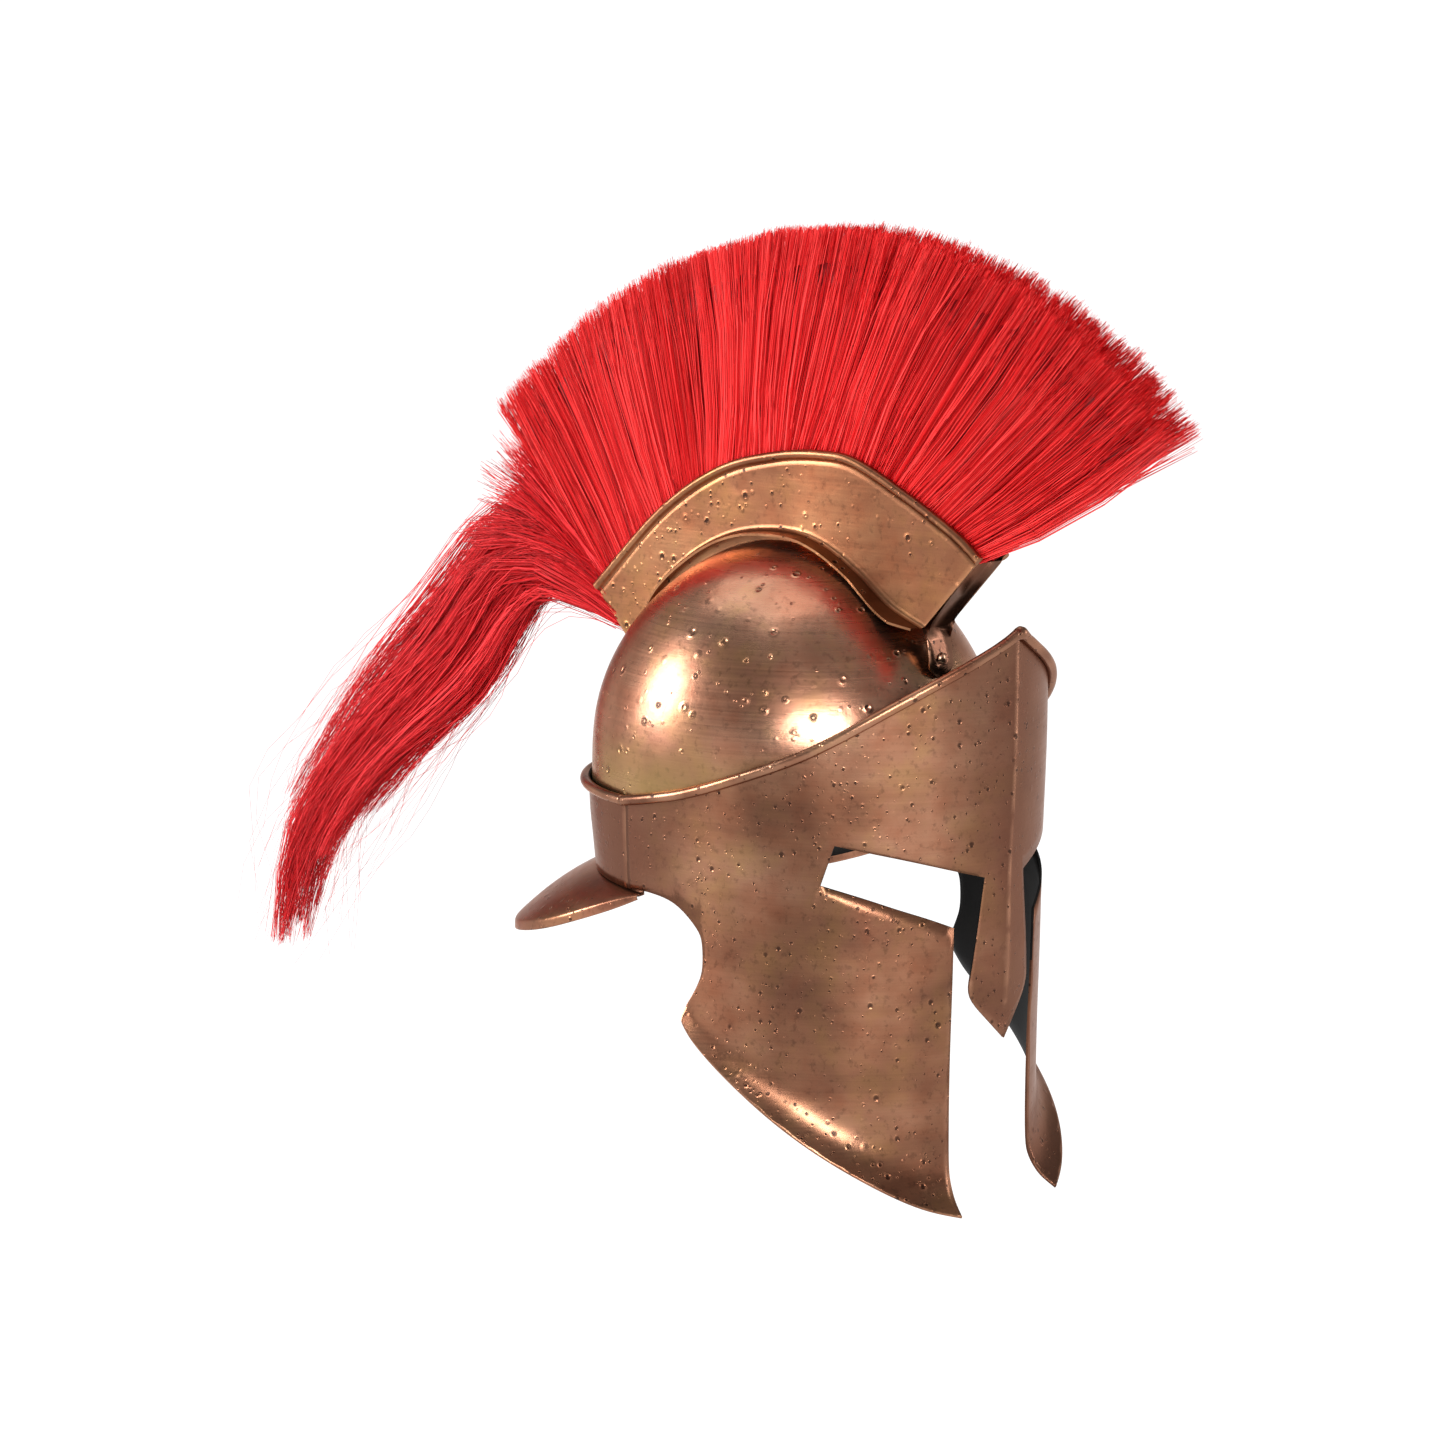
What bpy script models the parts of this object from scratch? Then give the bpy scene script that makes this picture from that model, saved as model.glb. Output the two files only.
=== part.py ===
"""Crested helmet of copper-plated sheet steel, with a fan of standing hair and a hair tail.

Metres, +Z up, the face towards -Y. The origin is the inside of the crown, where the helmet
sits on a head. Meshes are drawn round the middle of the skull's widest ring, and each object
is lowered by the inner height of the crown.
"""

import math

import bmesh
import bpy
from mathutils import Vector

# Driving dimensions
SHEET = 0.0012
GAP = 0.0003
SKULL_HALF_WIDTH = 0.100
SKULL_HALF_LENGTH = 0.109
SKULL_RISE = 0.106
SKULL_FULLNESS = 1.9
SKULL_SKIRT = 0.025
FACE_REACH = 0.138
KEEL_RISE = 0.008
KEEL_TURN = 30.0
FACE_FULLNESS = 2.25
BROW_RISE = 0.074
FACE_DROP = 0.2155
BAND_DROP = 0.0655
SEAM_TURN = 104.3
FRONT_LEAN = 0.0035
CHEEK_LEAN = 0.0032
NAPE_TAPER = 0.0032
RIM_RADIUS = 0.0026
FLARE = 0.014
FLARE_WIDTH = 0.024
HEM_WIDTH = 0.006
HEM_TURN_OUT = 0.002
GUARD_WIDTH = 0.044
GUARD_LIP = 0.0055
GUARD_LAP = 0.008
BOX_WIDTH = 0.021
FLANGE_WIDTH = 0.0120
FLANGE_TILT = 9.0
BEAD = 0.0046
TAB_WIDTH = 0.018
TAB_BOW = 0.0013
TAB_CORNER = 0.0045
TAB_SEAT = 0.4235
RIVET_PLACE = 0.28
RIVET_RADIUS = 0.0013
RIVET_HEAD = 0.0029
HAIR_ROOT = 0.012
HAIR_LENGTH = 0.130
HAIR_TIP_WIDTH = 0.034
HAIR_LOCKS = 26
LOCK_DEPTH = 0.0022
TAIL_REACH = 0.262
TAIL_DROP = 0.244
TAIL_DEPTH = 0.080
TAIL_WIDTH = 0.042
TAIL_LOCKS = 7

# Worked out from them
WALL_HALF_WIDTH = SKULL_HALF_WIDTH + GAP + SHEET
NAPE_REACH = SKULL_HALF_LENGTH + GAP + SHEET
CROWN = SKULL_RISE - SHEET
PLATE_FACE = BOX_WIDTH / 2
HAIR_HALF = PLATE_FACE - 2 * SHEET - GAP
WELD = 1e-5

# Turn is in degrees from the middle of the face; rise is a share of BROW_RISE
RIM_LINE = (
    (0, 1.0), (8, 0.865), (16, 0.74), (24, 0.605), (32, 0.462), (45, 0.24),
    (60, 0.062), (78, -0.10), (90, -0.17), (SEAM_TURN, -0.239),
)
# Turn, and drop as a share of FACE_DROP
SLOT_TOP = ((6.2, 0.227), (10.9, 0.2125), (23.9, 0.172), (38.7, 0.138))
SLOT_BOTTOM = ((13.1, 0.337), (17.1, 0.317), (23.5, 0.293), (32.3, 0.259), (41.7, 0.232))
NOTCH_TOP = ((75.2, 0.365), (78.2, 0.332), (82.9, 0.311), (88.3, 0.301), (97.9, 0.298), (SEAM_TURN, 0.303))
NOTCH_FRONT = ((75.2, 0.365), (73.5, 0.402), (73.4, 0.442), (75.0, 0.484))
NOTCH_BACK = ((75.0, 0.484), (77.2, 0.520), (78.7, 0.543))
CHEEK_EDGE = ((12.8, 1.0), (20.2, 0.9735), (37.3, 0.866), (59.2, 0.723), (74.7, 0.625), (79.4, 0.577))
NASAL_TIP = (0.0, 0.614)
NASAL_CORNER = (9.7, 0.505)
# Turn, and flare as a share of FLARE
CHEEK_FLARE = ((12.8, 1.0), (30, 0.80), (50, 0.60), (79.4, 0.25))
# Turn, and width as a share of GUARD_WIDTH
GUARD_PLAN = ((98, 0.03), (109, 0.31), (117, 0.57), (128, 0.77), (142, 0.95), (160, 1.0), (180, 1.0))
# Width share, and drop as a share of GUARD_WIDTH
GUARD_PROFILE = ((0.0, 0.01), (0.25, 0.12), (0.5, 0.277), (0.75, 0.473), (1.0, 0.705))
# Place as shares of SKULL_HALF_LENGTH and SKULL_RISE, from the back to the front
BOX_FOOT = (
    (0.95, 0.34738), (0.865, 0.57736), (0.735, 0.74094), (0.487, 0.91415), (0.232, 1.01134),
    (-0.06, 1.03828), (-0.265, 0.99498), (-0.471, 0.88625), (-0.672, 0.74287), (-0.869, 0.65915),
)
BOX_TOP = (
    (1.228, 0.66011), (0.792, 1.07389), (0.404, 1.31253), (0.044, 1.41164), (-0.262, 1.43858),
    (-0.467, 1.4126), (-0.765, 1.28077), (-1.061, 1.122), (-1.2, 1.01808),
)
# Station along the box, and flange as a share of FLANGE_WIDTH
FLANGE_PLAN = (
    (0.0, 0.30), (0.30, 0.30), (0.42, 0.5), (0.55, 0.74), (0.80, 0.78), (0.94, 1.0), (1.0, 0.45),
)
# Station, lean in degrees from the back, and length as a share of HAIR_LENGTH
CREST_FAN = (
    (0.0, 51.4, 0.87), (0.215, 74, 0.86), (0.379, 91.5, 0.86), (0.514, 105, 0.90),
    (0.70, 123, 0.935), (0.817, 132.8, 1.0), (0.938, 144, 1.02), (1.0, 149.7, 1.0),
)
# Shares of TAIL_REACH, TAIL_DROP, TAIL_DEPTH and TAIL_WIDTH, from the end of the box
TAIL_PATH = (
    (-0.094, -0.022, 0.150, 0.425), (-0.045, -0.074, 0.150, 0.428), (0.023, -0.056, 0.22, 0.50),
    (0.123, 0.014, 0.46, 0.80), (0.237, 0.055, 0.88, 0.95), (0.335, -0.041, 0.98, 1.0),
    (0.428, -0.184, 1.0, 1.0), (0.580, -0.328, 0.94, 0.95), (0.703, -0.438, 0.85, 0.88),
    (0.817, -0.574, 0.80, 0.80), (0.901, -0.689, 0.68, 0.70), (0.955, -0.80, 0.52, 0.58),
    (0.985, -0.90, 0.30, 0.36), (0.978, -1.0, 0.06, 0.10),
)

COPPER = (0.38, 0.17, 0.09, 1.0)
BRONZE = (0.48, 0.24, 0.10, 1.0)
DARK_COPPER = (0.25, 0.11, 0.07, 1.0)
RED_HAIR = (0.62, 0.01, 0.02, 1.0)


def smooth_step(share):
    share = min(max(share, 0.0), 1.0)
    return share * share * (3 - 2 * share)


def read(table, at, column=1):
    """The table's column at this value of its first, on a smooth curve through the rows."""
    rows = sorted(table)
    at = min(max(at, rows[0][0]), rows[-1][0])
    slopes = []
    for k in range(len(rows)):
        low, high = rows[max(k - 1, 0)], rows[min(k + 1, len(rows) - 1)]
        slopes.append((high[column] - low[column]) / (high[0] - low[0]))
    for k in range(len(rows) - 1):
        (x0, y0), (x1, y1) = ((rows[j][0], rows[j][column]) for j in (k, k + 1))
        if at <= x1:
            span = x1 - x0
            t = (at - x0) / span
            bend = t * (1 - t) ** 2 * slopes[k] - t * t * (1 - t) * slopes[k + 1]
            return y0 + (y1 - y0) * smooth_step(t) + span * bend
    return rows[-1][column]


def along(points, count):
    """count + 1 points, evenly spaced on a smooth curve through these."""
    points = [Vector(p) for p in points]
    if len(points) == 2:
        return [points[0].lerp(points[1], k / count) for k in range(count + 1)]
    fine = []
    for k in range(len(points) - 1):
        p, q = points[k], points[k + 1]
        before, after = points[max(k - 1, 0)], points[min(k + 2, len(points) - 1)]
        for step in range(24):
            t = step / 24
            pull = (q - before) * (t * (1 - t) ** 2) - (after - p) * (t * t * (1 - t))
            fine.append(p.lerp(q, smooth_step(t)) + pull / 2)
    fine.append(points[-1])
    reach = [0.0]
    for p, q in zip(fine, fine[1:]):
        reach.append(reach[-1] + (q - p).length)
    found = []
    for k in range(count + 1):
        goal = reach[-1] * k / count
        j = min(max(next((i for i, r in enumerate(reach) if r >= goal), 1), 1), len(fine) - 1)
        t = (goal - reach[j - 1]) / (reach[j] - reach[j - 1])
        found.append(fine[j - 1].lerp(fine[j], min(t, 1.0)))
    return found


def section(turn):
    """The wall's outer face in plan, as x and y, at this turn."""
    s, c = math.sin(math.radians(turn)), math.cos(math.radians(turn))
    fullness, reach = (FACE_FULLNESS, FACE_REACH) if turn < 90 else (2.0, NAPE_REACH)
    r = (abs(s / WALL_HALF_WIDTH) ** fullness + abs(c / reach) ** fullness) ** (-1 / fullness)
    return Vector((r * s, -r * c - KEEL_RISE * max(0.0, 1 - turn / KEEL_TURN) ** 2))


def wall(turn, height, out=0.0):
    """A point of the face or nape sheet, moved outwards by out."""
    ahead, behind = section(turn + 0.05), section(max(turn - 0.05, 0.0))
    edge = (ahead - behind).normalized()
    outward = Vector((edge.y, -edge.x)) if turn > 0 else Vector((0.0, -1.0))
    drop = -height / BAND_DROP
    if turn > 90:
        out -= NAPE_TAPER * smooth_step((drop - 0.46) / 0.54) * min((turn - 90) / 40, 1.0)
    plan = section(turn) + outward * out
    front = min(max(1.1 - turn / 60, 0.0), 1.0)
    lean = FRONT_LEAN * smooth_step((drop + 0.3) / 1.2) + CHEEK_LEAN * smooth_step((drop - 1.2) / 1.2)
    return Vector((plan.x, plan.y + lean * front, height))


def rim_height(turn):
    return BROW_RISE * read(RIM_LINE, turn)


def rolled_rim(turn):
    """The rolled edge from its free lip, over the top, to the face of the wall."""
    centre, inner = rim_height(turn) - RIM_RADIUS, RIM_RADIUS - SHEET
    row = []
    for angle in (-90, -36, 18, 72, 126, 180):
        a = math.radians(angle)
        row.append(wall(turn, centre + inner * math.sin(a), inner * (1 + math.cos(a))))
    return row


def coons(top, bottom, left, right, rows):
    """Points in turn and drop between four edges; rows gives how far down each row lies."""
    found = []
    last = len(top) - 1
    for r, row in enumerate(rows):
        line = []
        for i in range(len(top)):
            u, v = i / last, row[i]
            across = top[i] * (1 - v) + bottom[i] * v
            down = left[r] * (1 - u) + right[r] * u
            corners = (top[0] * (1 - u) + top[-1] * u) * (1 - v) + (bottom[0] * (1 - u) + bottom[-1] * u) * v
            line.append(across + down - corners)
        found.append(line)
    return found


def even(rows, columns):
    return [[r / rows] * (columns + 1) for r in range(rows + 1)]


def shares(pairs):
    """Turn and drop share to turn and height."""
    return [Vector((turn, -share * FACE_DROP)) for turn, share in pairs]


def finish(obj, bm, colour, metallic, roughness):
    mesh = obj.data
    bm.to_mesh(mesh)
    bm.free()
    mesh.shade_smooth()
    mesh.set_sharp_from_angle(angle=math.radians(40))
    material = bpy.data.materials.new(obj.name)
    material.use_nodes = True
    shader = material.node_tree.nodes["Principled BSDF"]
    shader.inputs["Base Color"].default_value = colour
    shader.inputs["Metallic"].default_value = metallic
    shader.inputs["Roughness"].default_value = roughness
    mesh.materials.append(material)


def new_object(name):
    obj = bpy.data.objects.new(name, bpy.data.meshes.new(name))
    bpy.context.collection.objects.link(obj)
    obj.parent = helmet
    return obj


def fill(bm, rows):
    grid = [[bm.verts.new(p) for p in row] for row in rows]
    for upper, lower in zip(grid, grid[1:]):
        for i in range(len(upper) - 1):
            bm.faces.new((upper[i], lower[i], lower[i + 1], upper[i + 1]))


def sheet_metal(name, patches, colour, mirrored=True):
    """Patches of points on the outer face, welded, mirrored and given the sheet's thickness."""
    obj = new_object(name)
    bm = bmesh.new()
    for rows in patches:
        fill(bm, rows)
    bmesh.ops.remove_doubles(bm, verts=bm.verts, dist=WELD)
    finish(obj, bm, colour, 1.0, 0.35)
    if mirrored:
        mirror = obj.modifiers.new("other_half", "MIRROR")
        mirror.merge_threshold = WELD
    thicken = obj.modifiers.new("sheet", "SOLIDIFY")
    thicken.thickness = SHEET
    thicken.offset = -1.0
    thicken.use_even_offset = True
    return obj


def join(obj, other, operation):
    """A Boolean with a hidden helper."""
    other.hide_render = True
    other.display_type = "WIRE"
    boolean = obj.modifiers.new(operation.lower(), "BOOLEAN")
    boolean.operation = operation
    boolean.object = other
    boolean.solver = "EXACT"


def spread(low, high, cells):
    return [low + (high - low) * k / cells for k in range(cells + 1)]


# The skull and the visor share these turns, so that their facets run side by side
BROW_TURNS = (
    spread(0, 6.2, 2) + spread(6.2, 38.7, 5)[1:] + spread(38.7, 75.2, 5)[1:] + spread(75.2, SEAM_TURN, 4)[1:]
)
NAPE_TURNS = spread(SEAM_TURN, 180, 8)
HALF_SEAM = math.degrees(GAP / SKULL_HALF_WIDTH) / 2


def skull_ring(lift):
    """Reach and height of the skull's ring at this lift, as shares of its half length and rise."""
    a = math.radians(lift)
    return abs(math.cos(a)) ** (2 / SKULL_FULLNESS), math.sin(a) ** (2 / SKULL_FULLNESS)


SKULL_LIFTS = (90, 80, 69, 58, 46, 34, 22, 11, 0)


def skull():
    rows = []
    for lift in SKULL_LIFTS + (None,):
        row = []
        for turn in BROW_TURNS + NAPE_TURNS[1:]:
            s, c = math.sin(math.radians(turn)), math.cos(math.radians(turn))
            r = ((s / SKULL_HALF_WIDTH) ** 2 + (c / SKULL_HALF_LENGTH) ** 2) ** -0.5
            if lift is None:
                row.append(Vector((r * s, -r * c, -SKULL_SKIRT)))
                continue
            reach, rise = skull_ring(lift)
            row.append(Vector((r * s * reach, -r * c * reach, SKULL_RISE * rise)))
        rows.append(row)
    sheet_metal("skull", [rows], COPPER)


def brow_bottom(turn):
    """Where the brow ends: at the nasal, the eye slot, the cheek or the ear notch."""
    slot_end, notch_start = SLOT_TOP[-1], NOTCH_TOP[0]
    if turn < slot_end[0]:
        return -FACE_DROP * read(SLOT_TOP, turn)
    if turn > notch_start[0]:
        return -FACE_DROP * read(NOTCH_TOP, turn)
    t = (turn - slot_end[0]) / (notch_start[0] - slot_end[0])
    return -FACE_DROP * (slot_end[1] + (notch_start[1] - slot_end[1]) * t)


def visor():
    turns = BROW_TURNS[:-1] + [SEAM_TURN - HALF_SEAM]
    brow = [list(line) for line in zip(*(rolled_rim(turn) for turn in turns))]
    for share in (0.12, 0.3, 0.5, 0.75, 1.0):
        row = []
        for turn in turns:
            top = rim_height(turn) - RIM_RADIUS
            row.append(wall(turn, top + (brow_bottom(turn) - top) * share))
        brow.append(row)

    link_top = [Vector((t, brow_bottom(t))) for t in BROW_TURNS[7:13]]
    slot_outer = along(shares((SLOT_TOP[-1], SLOT_BOTTOM[-1])), 3)
    link_bottom = along(shares((SLOT_BOTTOM[-1], NOTCH_FRONT[-1])), 5)
    link = coons(link_top, link_bottom, slot_outer, along(shares(NOTCH_FRONT), 3), even(3, 5))

    slot = [Vector((t, -FACE_DROP * read(SLOT_BOTTOM, t))) for t in spread(13.1, 41.7, 5)]
    cheek_top = slot + link_bottom[1:] + along(shares(NOTCH_BACK), 2)[1:]
    cheek_bottom = [Vector((p.x, -FACE_DROP * read(CHEEK_EDGE, p.x))) for p in cheek_top[:-2]]
    cheek_bottom += [Vector((t, -FACE_DROP * read(CHEEK_EDGE, t))) for t in (77.4, 79.4)]
    cheek_bottom[0] = shares(CHEEK_EDGE[:1])[0]
    rows = []
    for share, depth, most in (
        (0.0, None, 0), (0.3, None, 0), (0.6, None, 0), (None, FLARE_WIDTH, 0.96),
        (None, 0.68 * FLARE_WIDTH, 0.94), (None, 0.43 * FLARE_WIDTH, 0.92), (None, HEM_WIDTH, 0.88),
        (None, 0.5 * HEM_WIDTH, 0.44), (None, 0.0, 0.0),
    ):
        row = []
        for top, bottom in zip(cheek_top, cheek_bottom):
            length = top.y - bottom.y
            if depth is None:
                row.append(share * (1 - min(FLARE_WIDTH / length, 0.96)))
            else:
                row.append(1 - min(depth / length, most))
        rows.append(row)
    left = [cheek_top[0].lerp(cheek_bottom[0], row[0]) for row in rows]
    right = [cheek_top[-1].lerp(cheek_bottom[-1], row[-1]) for row in rows]
    cheek = []
    for row in coons(cheek_top, cheek_bottom, left, right, rows):
        line = []
        for point, foot in zip(row, cheek_bottom):
            above = point.y - foot.y
            flare = FLARE * read(CHEEK_FLARE, point.x) * max(0.0, 1 - above / FLARE_WIDTH) ** 2
            hem = HEM_TURN_OUT * max(0.0, 1 - above / HEM_WIDTH)
            line.append(wall(point.x, point.y, flare + hem))
        cheek.append(line)

    root = [Vector((t, brow_bottom(t))) for t in BROW_TURNS[:3]]
    tip = along(shares((NASAL_TIP, NASAL_CORNER)), 2)
    ridge = along(shares(((0.0, SLOT_TOP[0][1]), NASAL_TIP)), 6)
    edge = along([root[-1], tip[-1]], 6)
    nasal = coons(root, tip, ridge, edge, even(6, 2))

    flat = [[[wall(p.x, p.y) for p in row] for row in block] for block in (link, nasal)]
    sheet_metal("visor", [brow, cheek] + flat, COPPER)


def nape_band():
    turns = [SEAM_TURN + HALF_SEAM] + NAPE_TURNS[1:]
    rows = [list(line) for line in zip(*(rolled_rim(turn) for turn in turns))]
    for share in (0.3, 0.65, 1.0):
        row = []
        for turn in turns:
            top = rim_height(turn) - RIM_RADIUS
            row.append(wall(turn, top + (-BAND_DROP - top) * share))
        rows.append(row)
    sheet_metal("nape_band", [rows], COPPER)


def neck_guard():
    """A crescent brim whose root laps up inside the band."""
    lap = -SHEET - GAP
    turns = spread(GUARD_PLAN[0][0], SEAM_TURN, 1) + NAPE_TURNS[1:]
    columns = []
    for turn in turns:
        width = GUARD_WIDTH * read(GUARD_PLAN, turn)
        root = -BAND_DROP - GAP
        line = [(lap, root + GUARD_LAP), (lap, root - GAP), (GAP, root - 2 * GAP)]
        for share, drop in GUARD_PROFILE[1:]:
            full = width / GUARD_WIDTH
            line.append((GAP + share * width, root - 2 * GAP - drop * GUARD_WIDTH * full ** 1.3))
        lip = GUARD_LIP * smooth_step(0.35 + 4 * width / GUARD_WIDTH)
        line.append((line[-1][0] + SHEET / 2, line[-1][1] - 0.25 * lip))
        line.append((line[-1][0], line[-1][1] - 0.75 * lip))
        columns.append([wall(turn, height, out) for out, height in line])
    sheet_metal("neck_guard", [[list(row) for row in zip(*columns)]], COPPER)


def box_point(pair):
    return Vector((0.0, pair[0] * SKULL_HALF_LENGTH, pair[1] * SKULL_RISE))


BOX_CELLS = 20
FEET = along([box_point(p) for p in BOX_FOOT], BOX_CELLS)
TOPS = along([box_point(p) for p in BOX_TOP], BOX_CELLS)


def crest_box():
    """Two beaded side plates, soldered to a base strip whose flanges stand out on both sides."""
    bead = (
        (-1.8, 0.36), (-1.7, 0.10), (-0.9, 0.0), (0.2, 0.02), (1.0, 0.16),
        (1.3, 0.45), (1.0, 0.78), (0.0, 1.0),
    )
    plates = []
    for foot, top in zip(FEET, TOPS):
        up = (top - foot).normalized()
        height = (top - foot).length
        column = [top - up * (deep * BEAD) + Vector((PLATE_FACE + out * SHEET, 0, 0)) for out, deep in bead]
        for share in (0.36, 0.70):
            column.append(top - up * (height * share) + Vector((PLATE_FACE, 0, 0)))
        column.append(foot - up * (0.5 * SHEET) + Vector((PLATE_FACE, 0, 0)))
        plates.append(column)
    plates = sheet_metal("side_plates", [[list(row) for row in zip(*reversed(plates))]], BRONZE)

    base = []
    for k, foot in enumerate(FEET):
        run = (FEET[min(k + 1, BOX_CELLS)] - FEET[max(k - 1, 0)]).normalized()
        below = Vector((0.0, -run.z, run.y))
        flange = FLANGE_WIDTH * read(FLANGE_PLAN, k / BOX_CELLS)
        widths = (0.0, PLATE_FACE * 0.5, PLATE_FACE - SHEET / 2)
        edge = Vector((PLATE_FACE + flange, 0, 0)) + below * (flange * math.tan(math.radians(FLANGE_TILT)))
        base.append([foot + Vector((width, 0, 0)) for width in widths] + [foot + edge])
    back = (FEET[-2] - FEET[-1]).normalized() * (2 * SHEET + GAP)
    base[-1] = [point + back for point in base[-1]]
    box = sheet_metal("crest_box", [base], BRONZE)
    join(box, plates, "UNION")


def strap(name, line, width, colour):
    """A strip of sheet along a line of points in the middle plane, with its lower corners cut off."""
    halves = [width / 2] * (len(line) - 1) + [width / 2 - TAB_CORNER]
    rows = [[point + Vector((x, 0, 0)) for x in (0.0, half)] for point, half in zip(line, halves)]
    return sheet_metal(name, [rows], colour)


def skull_front(height):
    """The skull's surface in the middle plane at the forehead, along its facets."""
    rings = [skull_ring(lift) for lift in SKULL_LIFTS]
    ring = [(SKULL_HALF_LENGTH * reach, SKULL_RISE * rise) for reach, rise in rings]
    for (y0, z0), (y1, z1) in zip(ring, ring[1:]):
        if z1 <= height <= z0:
            return -y0 - (y1 - y0) * (z0 - height) / (z0 - z1)
    return -SKULL_HALF_LENGTH


def skull_depth(point, run):
    """How far this point of the middle plane is from the skull, along run."""
    near, far = 0.0, 0.02
    for _ in range(20):
        middle = (near + far) / 2
        place = point + run * middle
        near, far = (near, middle) if place.y > skull_front(place.z) else (middle, far)
    return near


def crest_cap():
    """The cap closes the front of the box, and its tab bends down on to the skull."""
    foot, top = FEET[-1], TOPS[-1]
    up = (top - foot).normalized()
    seat_height = TAB_SEAT * SKULL_RISE
    seat = Vector((0.0, skull_front(seat_height) - GAP - SHEET, seat_height))
    knee = foot - up * SHEET
    run = (seat - knee).normalized()
    bend = knee.lerp(seat, 0.5) + Vector((0.0, run.z, -run.y)) * TAB_BOW
    line = [top - up * (BEAD + GAP), foot.lerp(top, 0.45), knee, bend]
    line += [seat + (bend - seat).normalized() * TAB_CORNER, seat]
    cap = strap("crest_cap", line, TAB_WIDTH, DARK_COPPER)
    rivet(cap, bend, seat)


def rivet(tab, bend, seat):
    """A domed rivet through a clearance hole in the tab, its shank ending at the skull."""
    place = bend.lerp(seat, RIVET_PLACE)
    run = (seat - bend).normalized()
    outward = Vector((0.0, run.z, -run.y))
    reach = min(skull_depth(place + run * side, -outward) for side in (-RIVET_RADIUS, RIVET_RADIUS)) - GAP
    profile = [(0.0, -reach), (RIVET_RADIUS, -reach), (RIVET_RADIUS, GAP), (RIVET_HEAD, GAP)]
    for k in range(1, 5):
        a = math.radians(90 * k / 4)
        profile.append((RIVET_HEAD * math.cos(a), GAP + 0.6 * RIVET_HEAD * math.sin(a)))
    obj = new_object("front_rivet")
    bm = bmesh.new()
    turned(bm, profile, place, outward)
    finish(obj, bm, DARK_COPPER, 1.0, 0.3)
    hole = new_object("rivet_hole")
    bm = bmesh.new()
    bore = RIVET_RADIUS + GAP
    turned(bm, [(0.0, -2 * SHEET), (bore, -2 * SHEET), (bore, SHEET), (0.0, SHEET)], place, outward)
    finish(hole, bm, DARK_COPPER, 1.0, 0.3)
    join(tab, hole, "DIFFERENCE")


def turned(bm, profile, place, axis, sides=12):
    """A body turned round axis, from a profile of radius and height that starts and ends on it."""
    side = Vector((1.0, 0.0, 0.0))
    other = axis.cross(side)
    rings = []
    for radius, height in profile:
        centre = place + axis * height
        if radius < WELD:
            rings.append([bm.verts.new(centre)])
            continue
        ring = []
        for k in range(sides):
            a = 2 * math.pi * k / sides
            ring.append(bm.verts.new(centre + (side * math.cos(a) + other * math.sin(a)) * radius))
        rings.append(ring)
    for low, high in zip(rings, rings[1:]):
        for k in range(sides):
            corners = [low[k % len(low)], low[(k + 1) % len(low)], high[(k + 1) % len(high)], high[k % len(high)]]
            bm.faces.new(list(dict.fromkeys(corners)))
    bmesh.ops.recalc_face_normals(bm, faces=bm.faces)


def crest_hair():
    """A fan of locks that rise from the box and spread towards their trimmed tips."""
    obj = new_object("crest_hair")
    bm = bmesh.new()
    cells = 3 * HAIR_LOCKS
    tops = along([box_point(p) for p in BOX_TOP], cells)
    feet = along([box_point(p) for p in BOX_FOOT], cells)
    back = (tops[-2] - tops[-1]).normalized() * (2 * SHEET + GAP)
    tops[-1], feet[-1] = tops[-1] + back, feet[-1] + back
    columns = []
    for k in range(cells + 1):
        station = k / cells
        gap = 1.0 if k % 3 == 0 else 0.0
        uneven = 0.35 * math.sin(2.1 * k) + 0.25 * math.sin(0.7 * k + 1)
        lean = math.radians(read(CREST_FAN, station))
        length = HAIR_LENGTH * read(CREST_FAN, station, 2) - LOCK_DEPTH * (gap + uneven)
        along_hair = Vector((0.0, math.cos(lean), math.sin(lean)))
        up = (tops[k] - feet[k]).normalized()
        column = [(tops[k] - up * HAIR_ROOT, HAIR_HALF), (tops[k] - up * BEAD * 0.4, HAIR_HALF)]
        for share in (0.06, 0.3, 0.6, 0.85, 1.0):
            spread_out = HAIR_HALF + (HAIR_TIP_WIDTH / 2 - HAIR_HALF) * share
            groove = LOCK_DEPTH * gap * min(1.0, 3 * share)
            column.append((tops[k] + along_hair * (length * share), spread_out - groove))
        columns.append(column)
    loops = []
    for column in columns:
        ring = [bm.verts.new(p + Vector((half, 0, 0))) for p, half in column]
        ring.append(bm.verts.new(column[-1][0] + along_hair * (LOCK_DEPTH / 2)))
        ring += [bm.verts.new(p - Vector((half, 0, 0))) for p, half in reversed(column)]
        loops.append(ring)
    skin(bm, loops)
    finish(obj, bm, RED_HAIR, 0.0, 0.55)


def skin(bm, loops):
    """Joins closed rings of one length, and caps the first and the last."""
    size = len(loops[0])
    for ring, after in zip(loops, loops[1:]):
        for k in range(size):
            j = (k + 1) % size
            bm.faces.new((ring[k], ring[j], after[j], after[k]))
    bm.faces.new(loops[0])
    bm.faces.new(list(reversed(loops[-1])))
    bmesh.ops.recalc_face_normals(bm, faces=bm.faces)


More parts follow.
